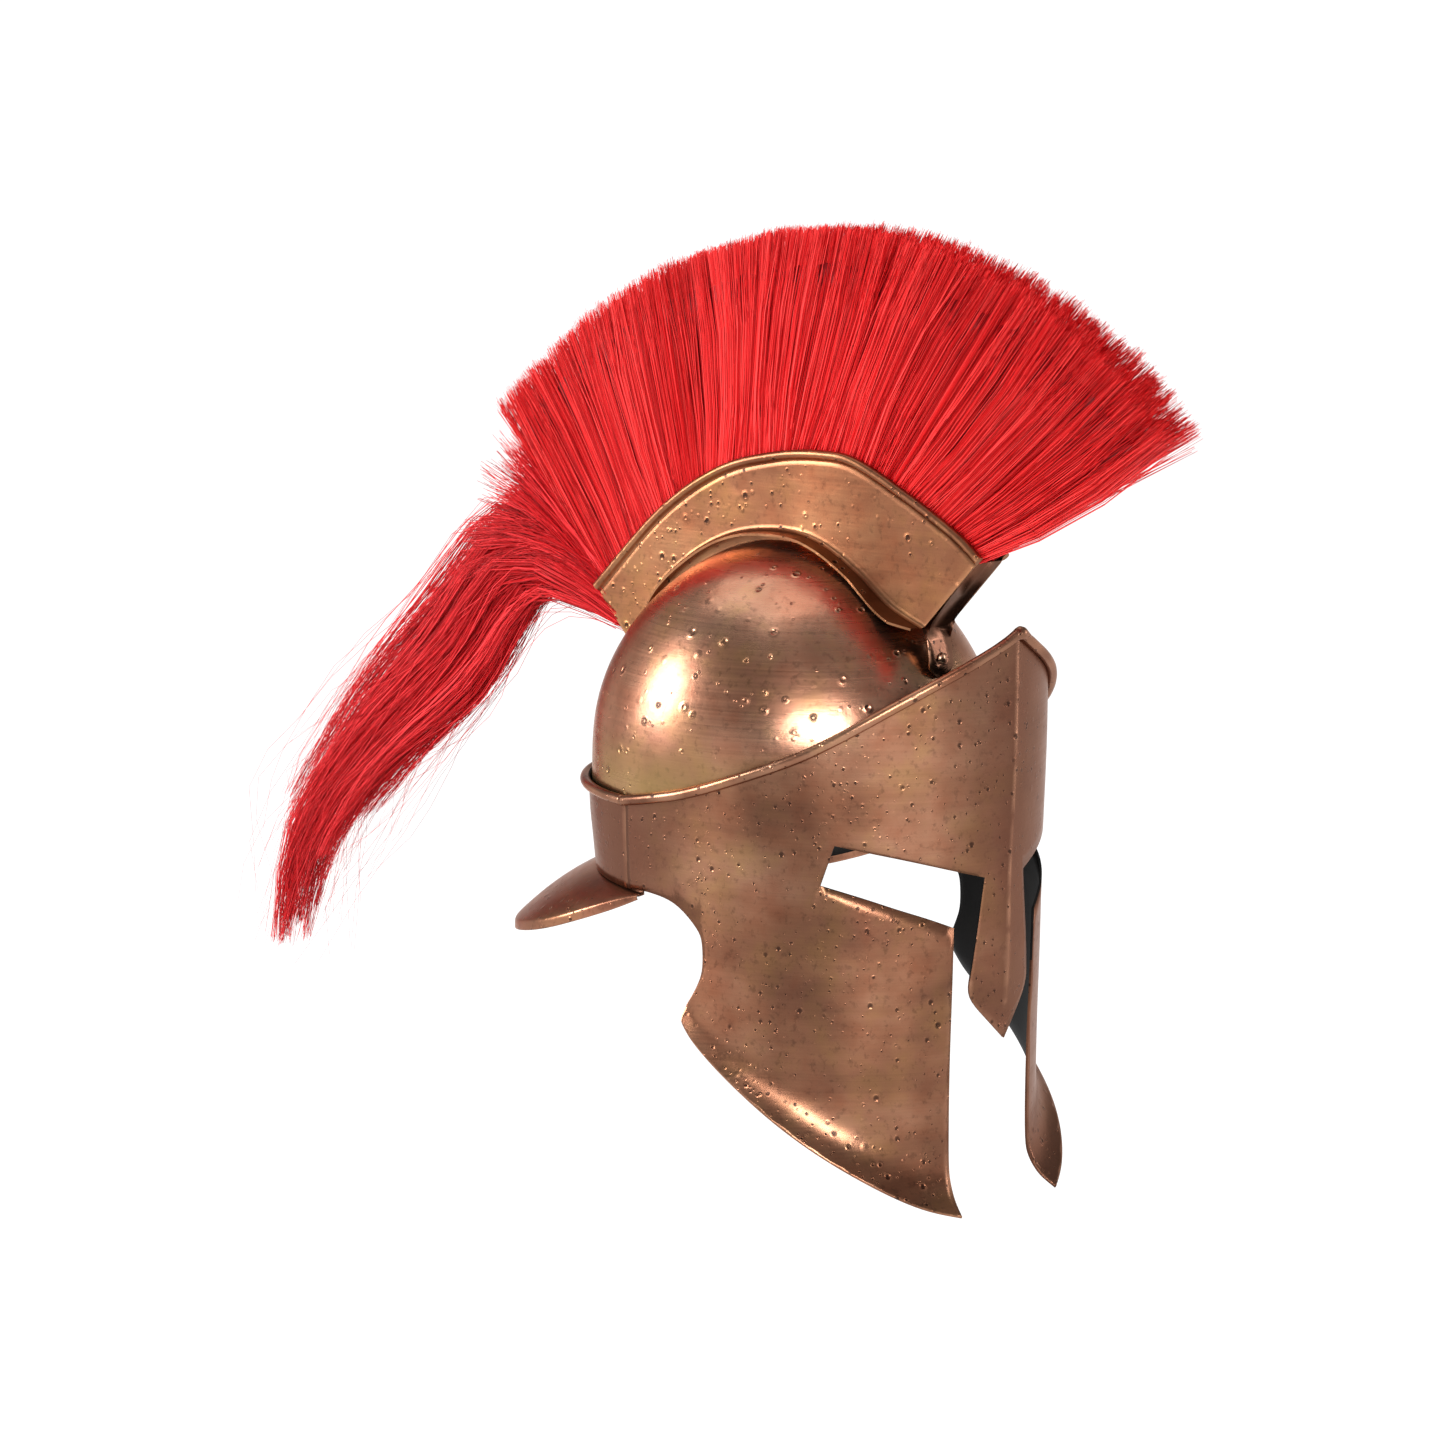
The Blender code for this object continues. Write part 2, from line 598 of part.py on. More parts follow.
def tail_hair():
    """A loose tail of locks that leaves the back of the box, lifts over and hangs."""
    obj = new_object("tail_hair")
    bm = bmesh.new()
    start = TOPS[0]
    centres, halves = [], []
    for back, rise, depth, width in TAIL_PATH:
        centres.append(start + Vector((0.0, back * TAIL_REACH, rise * TAIL_DROP)))
        halves.append((depth * TAIL_DEPTH / 2, width * TAIL_WIDTH / 2))
    loops = []
    sides = 3 * TAIL_LOCKS
    for k, (centre, (deep, wide)) in enumerate(zip(centres, halves)):
        before, after = centres[max(k - 1, 0)], centres[min(k + 1, len(centres) - 1)]
        run = (after - before).normalized()
        across = Vector((0.0, -run.z, run.y))
        ring = []
        for j in range(sides):
            a = 2 * math.pi * j / sides
            lobe = 1.0 - (0.13 if j % 3 == 0 and k > 1 else 0.0)
            place = across * (deep * lobe * math.sin(a)) + Vector((wide * lobe * math.cos(a), 0, 0))
            ring.append(bm.verts.new(centre + place))
        loops.append(ring)
    skin(bm, loops)
    finish(obj, bm, RED_HAIR, 0.0, 0.55)


for thing in list(bpy.data.objects):
    bpy.data.objects.remove(thing, do_unlink=True)

helmet = bpy.data.objects.new("helmet", None)
bpy.context.collection.objects.link(helmet)
helmet.location = (0.0, 0.0, -CROWN)

skull()
visor()
nape_band()
neck_guard()
crest_box()
crest_cap()
crest_hair()
tail_hair()
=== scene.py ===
"""Looks of the crested helmet: antiqued copper plate, blackened inside, dyed red bristle."""

import math
import random

import bmesh
import bpy
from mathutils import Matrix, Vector, kdtree, noise


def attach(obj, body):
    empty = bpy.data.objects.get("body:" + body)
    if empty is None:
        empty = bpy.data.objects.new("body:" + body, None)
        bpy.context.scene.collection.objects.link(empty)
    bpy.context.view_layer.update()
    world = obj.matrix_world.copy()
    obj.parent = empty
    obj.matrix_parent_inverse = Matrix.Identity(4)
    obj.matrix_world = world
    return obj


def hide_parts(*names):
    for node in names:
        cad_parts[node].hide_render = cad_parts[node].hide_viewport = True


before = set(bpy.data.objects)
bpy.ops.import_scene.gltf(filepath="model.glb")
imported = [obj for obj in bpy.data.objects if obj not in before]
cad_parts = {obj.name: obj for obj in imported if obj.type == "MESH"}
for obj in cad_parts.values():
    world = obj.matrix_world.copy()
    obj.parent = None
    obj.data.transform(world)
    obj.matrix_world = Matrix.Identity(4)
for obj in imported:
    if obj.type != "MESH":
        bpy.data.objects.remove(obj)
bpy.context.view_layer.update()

# Camera and studio, in metres
AIM = Vector((-0.0249, 0.0294, -0.0942))
AZIMUTH, ELEVATION, DISTANCE = math.radians(-47), math.radians(10), 2.2
FLOOR_LEVEL, FLOOR_RADIUS = -0.624, 300.0

# The outside of the dome, in metres, with the level of its widest ring and the power of its profile
SKULL_HALF_WIDTH, SKULL_HALF_LENGTH, SKULL_RISE = 0.100, 0.109, 0.106
EQUATOR, SKULL_FULLNESS = -0.1048, 1.9
# Half width of the wall under the dome, and its reach to the front and to the back
WALL_HALF_WIDTH, WALL_FRONT, WALL_BACK = 0.101, 0.138, 0.110

WELD = 0.00001
FULL_TURN = 6.28


def from_hex(text):
    """An sRGB hex colour as linear values."""
    parts = [int(text[k:k + 2], 16) / 255 for k in (1, 3, 5)]
    return tuple(c / 12.92 if c <= 0.04045 else ((c + 0.055) / 1.055) ** 2.4 for c in parts) + (1.0,)


def grey(value):
    return (value, value, value, 1.0)


def feed(tree, node, inputs):
    """Gives each input its value, or a link from another node."""
    for name, value in inputs.items():
        if isinstance(value, bpy.types.NodeSocket):
            tree.links.new(value, node.inputs[name])
        else:
            node.inputs[name].default_value = value


def add(tree, kind, inputs=None, stops=(), **settings):
    """Adds a node with its settings and inputs; stops are the places and colours of a colour ramp."""
    node = tree.nodes.new(kind)
    for name, value in settings.items():
        setattr(node, name, value)
    feed(tree, node, inputs or {})
    if stops:
        elements = node.color_ramp.elements
        while len(elements) < len(stops):
            elements.new(0.5)
        for element, (place, colour) in zip(elements, stops):
            element.position = place
            element.color = colour
    return node


def new_material(name):
    material = bpy.data.materials.new(name)
    material.use_nodes = True
    tree = material.node_tree
    return material, tree, tree.nodes["Principled BSDF"]


def copper_plate(
    name, light, middle, dark, roughness, pits,
    crowd=(0.36, 0.60), pit_film=0.9, painted_side_shade=0.0, painted_rear_shade=0.0, low_olive=0.0,
):
    """Copper-plated sheet steel, antiqued: a brown film that was rubbed back along the sheet.

    The eye sees long level brush lines, soft brown clouds a few centimetres across, round pits
    1 to 3 mm wide with a bright lip and a dark floor, and lighter copper near sharp edges, where
    the plate is rubbed and where a highlight is painted along the edge.
    Each row of pits has the size of its cells and its depth in metres, and the share of cells
    with a pit. crowd says where pits are common, pit_film how dark their floors are, the side and
    rear shade arguments how far painted shade darkens the copper at the right and at the back,
    and low_olive how green it is at the foot of the dome.
    """
    material, tree, shader = new_material(name)
    place = add(tree, "ShaderNodeTexCoord").outputs["Object"]
    across, along, rise = add(tree, "ShaderNodeSeparateXYZ", {0: place}).outputs
    worn_and_edge_highlight = add(tree, "ShaderNodeAttribute", attribute_name="worn_and_edge_highlight").outputs["Fac"]
    # The mark lightens the copper: rubbed wear at edges, and a painted edge highlight.
    rub_and_edge_highlight = add(tree, "ShaderNodeMath", {0: worn_and_edge_highlight, 1: 0.6}, operation="MULTIPLY").outputs[0]

    drawn = add(tree, "ShaderNodeMapping", {
        "Vector": place, "Rotation": (0.75, 0.2, 0.0), "Scale": (1.0, 0.7, 1.5),
    }).outputs[0]
    level = add(tree, "ShaderNodeMapping", {"Vector": place, "Scale": (9.0, 9.0, 1000.0)}).outputs[0]
    upright = add(tree, "ShaderNodeMapping", {"Vector": place, "Scale": (20.0, 20.0, 5.0)}).outputs[0]
    clouds, spots, brush, bands, warmth, patches = (
        add(tree, "ShaderNodeTexNoise", {
            "Vector": vector, "Scale": scale, "Detail": detail, "Roughness": harshness,
        }).outputs["Fac"]
        for vector, scale, detail, harshness in (
            (drawn, 15.0, 3.5, 0.55), (place, 260.0, 3.0, 0.65), (level, 1.0, 3.0, 0.5),
            (upright, 1.0, 2.0, 0.5), (place, 34.0, 4.0, 0.6), (place, 22.0, 1.0, 0.5),
        )
    )

    tone, speck, streak, cast, hue = (
        add(tree, "ShaderNodeValToRGB", {"Fac": pattern}, stops).outputs["Color"]
        for pattern, stops in (
            (clouds, ((0.22, dark), (0.48, middle), (0.76, light))),
            (spots, ((0.30, grey(0.62)), (0.45, grey(1.0)), (1.0, grey(1.0)))),
            (brush, ((0.30, grey(0.90)), (0.62, grey(1.0)))),
            (bands, ((0.30, grey(0.62)), (0.52, grey(0.95)), (0.70, grey(1.25)))),
            (warmth, ((0.32, (0.90, 0.74, 0.70, 1.0)), (0.5, grey(1.0)), (0.68, (1.04, 1.16, 0.92, 1.0)))),
        )
    )
    # The first two ranges paint shade: the copper turns dark towards the right of the face's middle and
    # towards the back.
    side_shade, rear_shade, by_rise, crowded, rough = (
        add(tree, "ShaderNodeMapRange", {
            "Value": value, "From Min": low, "From Max": high, "To Min": first, "To Max": last,
        }).outputs[0]
        for value, low, high, first, last in (
            (across, -0.042, 0.004, 0.0, painted_side_shade), (along, -0.030, 0.030, 0.0, painted_rear_shade),
            (rise, EQUATOR - 0.010, EQUATOR + 0.014, low_olive, 0.0),
            (patches, *crowd, 0.0, 1.0), (clouds, 0.3, 0.7, roughness + 0.07, roughness - 0.05),
        )
    )
    colour = tone
    for share, layer, blend in (
        (0.8, speck, "MULTIPLY"), (0.95, cast, "MULTIPLY"), (0.8, hue, "MULTIPLY"), (0.8, streak, "MULTIPLY"),
        (side_shade, dark, "MIX"), (rear_shade, dark, "MIX"), (by_rise, from_hex("#8f7c46"), "MIX"),
        (rub_and_edge_highlight, light, "MIX"),
    ):
        colour = add(
            tree, "ShaderNodeMix", {0: share, 6: colour, 7: layer}, data_type="RGBA", blend_type=blend,
        ).outputs[2]
    rough = add(tree, "ShaderNodeMath", {0: brush, 1: 0.13, 2: rough}, operation="MULTIPLY_ADD").outputs[0]

    relief = add(tree, "ShaderNodeBump", {"Height": brush, "Distance": 0.00003, "Strength": 0.5}).outputs[0]
    for pattern, distance, strength in ((spots, 0.00012, 0.5), (clouds, 0.004, 0.22)):
        relief = add(tree, "ShaderNodeBump", {
            "Height": pattern, "Distance": distance, "Strength": strength, "Normal": relief,
        }).outputs[0]
    for size, depth, share in pits:
        cells = add(tree, "ShaderNodeTexVoronoi", {"Vector": place, "Scale": 1.0 / size})
        chosen = add(tree, "ShaderNodeSeparateColor", {"Color": cells.outputs["Color"]}).outputs
        chance = add(tree, "ShaderNodeMath", {0: crowded, 1: share}, operation="MULTIPLY").outputs[0]
        pick = add(tree, "ShaderNodeMath", {0: chosen[0], 1: chance}, operation="LESS_THAN").outputs[0]
        width = add(tree, "ShaderNodeMapRange", {
            "Value": chosen[1], "To Min": 0.80, "To Max": 1.75,
        }).outputs[0]
        away = add(
            tree, "ShaderNodeMath", {0: cells.outputs["Distance"], 1: width}, operation="MULTIPLY",
        ).outputs[0]
        bowl, floor = (
            add(tree, "ShaderNodeValToRGB", {"Fac": away}, stops).outputs["Color"]
            for stops in (
                (
                    (0.0, grey(0.0)), (0.09, grey(0.12)), (0.17, grey(0.80)), (0.22, grey(0.62)),
                    (0.29, grey(0.5)),
                ),
                ((0.0, grey(pit_film)), (0.11, grey(0.8 * pit_film)), (0.17, grey(0.0))),
            )
        )
        flat = add(tree, "ShaderNodeMix", {0: pick, 2: 0.5, 3: bowl}).outputs[0]
        relief = add(tree, "ShaderNodeBump", {
            "Height": flat, "Distance": depth, "Strength": 0.9, "Normal": relief,
        }).outputs[0]
        inside = add(tree, "ShaderNodeMath", {0: floor, 1: pick}, operation="MULTIPLY").outputs[0]
        colour = add(
            tree, "ShaderNodeMix", {0: inside, 6: colour, 7: from_hex("#2c1710")}, data_type="RGBA",
        ).outputs[2]
    feed(tree, shader, {
        "Base Color": colour, "Roughness": rough, "Normal": relief, "Metallic": 1.0,
        "Coat Weight": 0.15, "Coat Roughness": 0.30, "Specular Tint": from_hex("#ecd2c6"),
    })
    return material


def blackened_steel():
    """The inside, painted a dull black over bare steel: almost no highlight, fine brush marks."""
    material, tree, shader = new_material("black_paint_inside")
    place = add(tree, "ShaderNodeTexCoord").outputs["Object"]
    marks = add(tree, "ShaderNodeTexNoise", {"Vector": place, "Scale": 60.0, "Detail": 5.0}).outputs["Fac"]
    colour = add(tree, "ShaderNodeValToRGB", {"Fac": marks}, (
        (0.35, from_hex("#050404")), (0.7, from_hex("#100d0b")),
    )).outputs["Color"]
    relief = add(tree, "ShaderNodeBump", {"Height": marks, "Distance": 0.0006, "Strength": 0.4}).outputs[0]
    feed(tree, shader, {
        "Base Color": colour, "Roughness": 0.62, "Specular IOR Level": 0.10, "Normal": relief,
    })
    return material


def bristle(name, deep, middle, bright):
    """Dyed nylon bristle: each strand has its own shade of red and a soft gloss along it."""
    material, tree, shader = new_material(name)
    shade = add(tree, "ShaderNodeAttribute", attribute_name="shade").outputs["Fac"]
    colour = add(tree, "ShaderNodeValToRGB", {"Fac": shade}, (
        (0.0, from_hex(deep)), (0.45, from_hex(middle)), (1.0, from_hex(bright)),
    )).outputs["Color"]
    feed(tree, shader, {"Base Color": colour, "Roughness": 0.46, "Specular IOR Level": 0.16})
    return material


SMALL_PITS = ((0.0092, 0.0006, 1.2), (0.0056, 0.0005, 1.1), (0.0036, 0.0003, 0.7))
# The visor's and nape's copper carries painted shade, dark at the right of the face and at the back.
COPPER = copper_plate(
    "antiqued_copper_plate", from_hex("#ac7e64"), from_hex("#8a5d45"), from_hex("#5c3a2d"), 0.25, SMALL_PITS,
    crowd=(0.20, 0.55), painted_side_shade=0.80, painted_rear_shade=0.92,
)
# The dome's copper has lighter tones than the visor's: painted light on the crown.
DOME = copper_plate(
    "antiqued_copper_plate_dome", from_hex("#c4947a"), from_hex("#a4735a"), from_hex("#7c5242"), 0.22,
    ((0.0112, 0.0007, 1.1), (0.0054, 0.0003, 0.30)), crowd=(0.05, 0.30), pit_film=0.5, low_olive=0.45,
)
AGED = copper_plate(
    "antiqued_copper_plate_brown", from_hex("#a8765c"), from_hex("#845642"), from_hex("#58392c"), 0.27,
    SMALL_PITS,
)
GOLDEN = copper_plate(
    "antiqued_copper_plate_pale", from_hex("#ac7a56"), from_hex("#8e5c3f"), from_hex("#684231"), 0.27,
    ((0.0084, 0.0006, 1.2), (0.0048, 0.0004, 1.1)), crowd=(0.22, 0.50), pit_film=1.0,
)
DARK = copper_plate(
    "dark_copper_plate", from_hex("#7c4e3a"), from_hex("#583829"), from_hex("#38221a"), 0.30,
    ((0.0060, 0.0003, 0.3), (0.0030, 0.0002, 0.3)),
)
# The rivet's pale copper is a painted highlight, lighter than the plate around it.
RIVET_HIGHLIGHT = copper_plate(
    "copper_rivet_painted_highlight", from_hex("#e6b898"), from_hex("#cc9a7c"), from_hex("#a07058"), 0.26, (),
)
INSIDE = blackened_steel()
BRISTLE = bristle("dyed_nylon_bristle", "#980509", "#d21216", "#ff4a48")
TAIL_BRISTLE = bristle("dyed_nylon_bristle_tail", "#86040a", "#c00d14", "#f03c40")
# The core's deeper reds are painted shade for the bristle hidden inside the tuft.
BRISTLE_CORE = bristle("dyed_bristle_in_shade", "#640206", "#8c0508", "#a80c12")


def new_piece(name, mesh):
    obj = bpy.data.objects.new(name, mesh)
    bpy.context.collection.objects.link(obj)
    return obj


def ship(obj, node, materials=()):
    """Hands over a finished piece in place of its solid."""
    for material in materials:
        obj.data.materials.append(material)
    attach(obj, "root")
    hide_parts(node)


def applied(obj):
    """The piece with its modifiers worked into its mesh and taken off."""
    depsgraph = bpy.context.evaluated_depsgraph_get()
    mesh = bpy.data.meshes.new_from_object(
        obj.evaluated_get(depsgraph), preserve_all_data_layers=True, depsgraph=depsgraph,
    )
    obj.modifiers.clear()
    obj.data = mesh
    return obj


def on_keel(edge):
    """True for the edges of the face's middle line."""
    return all(abs(v.co.x) < WELD and v.co.y < -0.1 and v.co.z < EQUATOR + 0.08 for v in edge.verts)


def refined(node, sharp=62.0, levels=2, keel=False):
    """A smooth copy of a solid: welded, its quads restored, subdivided, with its sharp edges kept."""
    bm = bmesh.new()
    bm.from_mesh(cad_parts[node].data)
    bmesh.ops.remove_doubles(bm, verts=bm.verts, dist=WELD)
    bmesh.ops.join_triangles(bm, faces=bm.faces, angle_face_threshold=0.6, angle_shape_threshold=math.pi)
    crease = bm.edges.layers.float.new("crease_edge")
    for edge in bm.edges:
        if len(edge.link_faces) == 2 and edge.calc_face_angle(0.0) > math.radians(sharp):
            edge[crease] = 1.0
        if keel and on_keel(edge):
            edge[crease] = 1.0
    mesh = bpy.data.meshes.new(node + "_fine")
    bm.to_mesh(mesh)
    bm.free()
    mesh.shade_smooth()
    obj = new_piece(node + "_fine", mesh)
    smooth = obj.modifiers.new("smooth", "SUBSURF")
    smooth.levels = smooth.render_levels = levels
    return applied(obj)


def store_wear_and_highlight(mesh, values):
    """Keeps one value per point, from 0 for brown film to 1 for the lightest copper, rubbed bare or lit by a
    painted highlight.
    """
    layer = mesh.attributes.new("worn_and_edge_highlight", "FLOAT", "POINT")
    layer.data.foreach_set("value", [min(max(v, 0.0), 1.0) for v in values])


def mark_wear_and_edge_highlight(obj, reach=0.0014, sharp=50.0, keel=False, below=1.0):
    """Marks each point by how close it is to a sharp edge, where hands rub the plate bright and a highlight
    is painted along the edge.
    """
    bm = bmesh.new()
    bm.from_mesh(obj.data)
    edges = [e for e in bm.edges if len(e.link_faces) == 2 and e.calc_face_angle(0.0) > math.radians(sharp)]
    edges = [e for e in edges if e.verts[0].co.z < below]
    edges += [e for e in bm.edges if keel and on_keel(e)]
    tree = kdtree.KDTree(2 * len(edges) or 1)
    for k, edge in enumerate(edges):
        tree.insert(edge.verts[0].co, 2 * k)
        tree.insert((edge.verts[0].co + edge.verts[1].co) / 2, 2 * k + 1)
    tree.balance()
    values = []
    for vert in bm.verts:
        near = tree.find(vert.co)[2] if edges else 1.0
        values.append(max(0.0, 1.0 - near / reach) * (0.55 + 0.9 * noise.noise(vert.co * 90)))
    bm.free()
    store_wear_and_highlight(obj.data, values)
    obj.data.set_sharp_from_angle(angle=math.radians(sharp))


def blacken(obj):
    """Gives the faces that look at the head the second material."""
    for face in obj.data.polygons:
        centre = face.center
        down = 0.6 * (EQUATOR - centre.z) if centre.z > EQUATOR else 0.0
        towards_head = Vector((-centre.x, -centre.y, down))
        if face.normal.dot(towards_head.normalized()) > 0.25:
            face.material_index = 1


def darken_edges(obj):
    """Blackens the cut edges of the eye slots, and gives the lower cut edges the dark copper."""
    for face in obj.data.polygons:
        x, y, z = face.center
        reach = WALL_FRONT if y < 0 else WALL_BACK
        around = Vector((x / WALL_HALF_WIDTH ** 2, y / reach ** 2, 0.0)).normalized()
        if abs(face.normal.dot(around)) < 0.30 and z < EQUATOR + 0.05:
            face.material_index = 1 if z > EQUATOR - 0.10 else 2


skull = refined("skull")
mark_wear_and_edge_highlight(skull)
ship(skull, "skull", (DOME, INSIDE))
blacken(skull)

visor = refined("visor", keel=True)
# Along the face's middle crease the light mark is a painted highlight.
mark_wear_and_edge_highlight(visor, keel=True, below=EQUATOR - 0.10)
ship(visor, "visor", (COPPER, INSIDE, DARK))
blacken(visor)
darken_edges(visor)

nape = refined("nape_band")
mark_wear_and_edge_highlight(nape)
ship(nape, "nape_band", (COPPER, INSIDE))
blacken(nape)

guard = refined("neck_guard")
mark_wear_and_edge_highlight(guard)
ship(guard, "neck_guard", (AGED, INSIDE))
for face in guard.data.polygons:
    if face.normal.z < -0.35:
        face.material_index = 1


def on_curve(points, count):
    """count + 1 points, evenly spaced on a smooth curve through these."""
    fine = []
    for k in range(len(points) - 1):
        p, q = points[k], points[k + 1]
        before, after = points[max(k - 1, 0)], points[min(k + 2, len(points) - 1)]
        for step in range(24):
            t = step / 24
            ease = t * t * (3 - 2 * t)
            pull = (q - before) * (t * (1 - t) ** 2) - (after - p) * (t * t * (1 - t))
            fine.append(p.lerp(q, ease) + pull / 2)
    fine.append(points[-1])
    reach = [0.0]
    for p, q in zip(fine, fine[1:]):
        reach.append(reach[-1] + (q - p).length)
    found, j = [], 1
    for k in range(count + 1):
        goal = reach[-1] * k / count
        while j < len(fine) - 1 and reach[j] < goal:
            j += 1
        t = (goal - reach[j - 1]) / (reach[j] - reach[j - 1])
        found.append(fine[j - 1].lerp(fine[j], min(t, 1.0)))
    return found


def between(table, at, column):
    """The table's column at this value of its first, straight between its rows."""
    for low, high in zip(table, table[1:]):
        if at <= high[0]:
            t = (at - low[0]) / (high[0] - low[0])
            return low[column] + (high[column] - low[column]) * max(t, 0.0)
    return table[-1][column]


def tubes(name, bodies):
    """One mesh from closed tubes, each a list of rings of equal length."""
    bm = bmesh.new()
    for rings in bodies:
        grid = [[bm.verts.new(p) for p in ring] for ring in rings]
        count = len(grid[0])
        for ring, after in zip(grid, grid[1:]):
            for i in range(count):
                bm.faces.new((ring[i], ring[(i + 1) % count], after[(i + 1) % count], after[i]))
        bm.faces.new(list(reversed(grid[0])))
        bm.faces.new(grid[-1])
    bmesh.ops.recalc_face_normals(bm, faces=bm.faces)
    mesh = bpy.data.meshes.new(name)
    bm.to_mesh(mesh)
    bm.free()
    mesh.shade_smooth()
    return new_piece(name, mesh)


# The bead's half height and depth, and how far its middle lies under the rim's top and inside its middle
BEAD_TALL, BEAD_DEEP, BEAD_BELOW, BEAD_INWARD = 0.00265, 0.00262, 0.00247, 0.00075
BEAD_SIDES = 20
# Half width of the peak over the brow, and how much thicker the bead is there
PEAK_HALF_WIDTH, PEAK_SWELL = 0.0022, 0.30
# Degrees round the head from the middle of the face at which the rims of the solids have points
FRONT_TURNS = (
    3.1, 6.2, 12.7, 19.2, 25.7, 32.2, 38.7, 46.0, 53.3, 60.6, 67.9, 75.2, 82.475, 89.75, 97.025, 104.15,
)
BACK_TURNS = [104.45] + [104.3 + 75.7 * k / 8 for k in range(1, 9)]


def rim_bead(node, turns):
    """The rolled edge as one full round bead that sits close against the wall."""
    crown = []
    for turn in turns:
        near = []
        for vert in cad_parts[node].data.vertices:
            around = math.degrees(math.atan2(vert.co.x, -vert.co.y)) - turn
            if abs((around + 180) % 360 - 180) < 1.5:
                near.append(vert.co)
        crown.append(max(near, key=lambda co: co.z) - Vector((0, 0, BEAD_BELOW)))
    rings = []
    path = on_curve(crown, 10 * (len(crown) - 1))
    for k, centre in enumerate(path):
        run = (path[min(k + 1, len(path) - 1)] - path[max(k - 1, 0)]).normalized()
        out = Vector((run.y, -run.x, 0.0)).normalized()
        if out.dot(Vector((centre.x, centre.y, 0.0))) < 0:
            out = -out
        up = out.cross(run)
        up = up if up.z > 0 else -up
        peak = 1.0 + PEAK_SWELL * math.exp(-(centre.x / PEAK_HALF_WIDTH) ** 2) * (centre.y < 0)
        middle = centre - out * BEAD_INWARD
        rings.append([
            middle + out * (BEAD_DEEP * peak * math.cos(a)) + up * (BEAD_TALL * peak * math.sin(a))
            for a in (2 * math.pi * j / BEAD_SIDES for j in range(BEAD_SIDES))
        ])
    bead = tubes(node + "_bead", [rings])
    # The whole bead is lightened, partly rubbed wear and partly a painted highlight.
    store_wear_and_highlight(bead.data, [0.45 + 0.9 * noise.noise(v.co * 60) for v in bead.data.vertices])
    ship(bead, node, (COPPER,))


rim_bead("visor", [-t for t in reversed(FRONT_TURNS)] + [0.0] + list(FRONT_TURNS))
rim_bead("nape_band", BACK_TURNS + [360 - t for t in reversed(BACK_TURNS[:-1])])

# The foot and the top of the box's plates, as shares of the dome's half length and of its rise
BOX_FOOT = (
    (0.95, 0.3474), (0.865, 0.5774), (0.735, 0.7409), (0.487, 0.9142), (0.232, 1.0113), (-0.06, 1.0383),
    (-0.265, 0.9950), (-0.471, 0.8863), (-0.672, 0.7429), (-0.869, 0.6592),
)
BOX_TOP = (
    (1.228, 0.6601), (0.792, 1.0739), (0.404, 1.3125), (0.044, 1.4116), (-0.262, 1.4386),
    (-0.467, 1.4126), (-0.765, 1.2808), (-1.061, 1.1220), (-1.2, 1.0181),
)
# Station along the box from its rear end, and width of the flange in metres
FLANGE = (
    (0.0, 0.0036), (0.30, 0.0036), (0.42, 0.0060), (0.55, 0.0088), (0.80, 0.0094), (0.945, 0.0120),
    (1.0, 0.0052),
)
# The outer face of each plate, the sheet's wall, how far the strip stops short of the front, and how
# far soldered metal laps, in metres
FACE, SHEET, STRIP_SHORT, LAP = 0.0105, 0.0012, 0.0027, 0.0004
# The drop of the flange's outer edge, as a share of its width
FLANGE_DROP = 0.158
# Outline of a side plate: distance from its outer face, and height above the foot or below the top
PLATE_FOOT = ((0.0026, -0.0003), (0.0014, 0.0001), (0.0006, 0.0007), (0.00015, 0.0016), (0.0, 0.0030))
PLATE_BEAD = (
    (0.0, 0.0085), (-0.0001, 0.0064), (-0.0006, 0.0057), (-0.0003, 0.0050), (0.0010, 0.0045),
    (0.0017, 0.0034), (0.0019, 0.0022), (0.0014, 0.0009), (0.0004, 0.0001), (-0.0010, 0.0),
    (-0.0020, 0.0007), (-0.0022, 0.0022), (-0.0016, 0.0036), (-0.0012, 0.0046),
)
# Cells along the box, and how many of them the seat stops short of the front
BOX_CELLS, SEAT_SHORT = 90, 5
# How finely, and for how many steps, the dome is sought under the plates
DOME_STEP, DOME_STEPS = 0.00025, 60


def box_line(table, count):
    """count + 1 points along the foot or the top of the box."""
    return on_curve([
        Vector((0.0, y * SKULL_HALF_LENGTH, z * SKULL_RISE + EQUATOR)) for y, z in table
    ], count)


def to_dome(place, below):
    """How far below this place the dome lies, on the line of the plates."""
    for step in range(DOME_STEPS):
        p = place + below * (DOME_STEP * step)
        plan = math.hypot(FACE / SKULL_HALF_WIDTH, p.y / SKULL_HALF_LENGTH)
        lift = max(p.z - EQUATOR, 0.0) / SKULL_RISE
        if plan ** SKULL_FULLNESS + lift ** SKULL_FULLNESS < 1.0:
            break
    return DOME_STEP * step + LAP


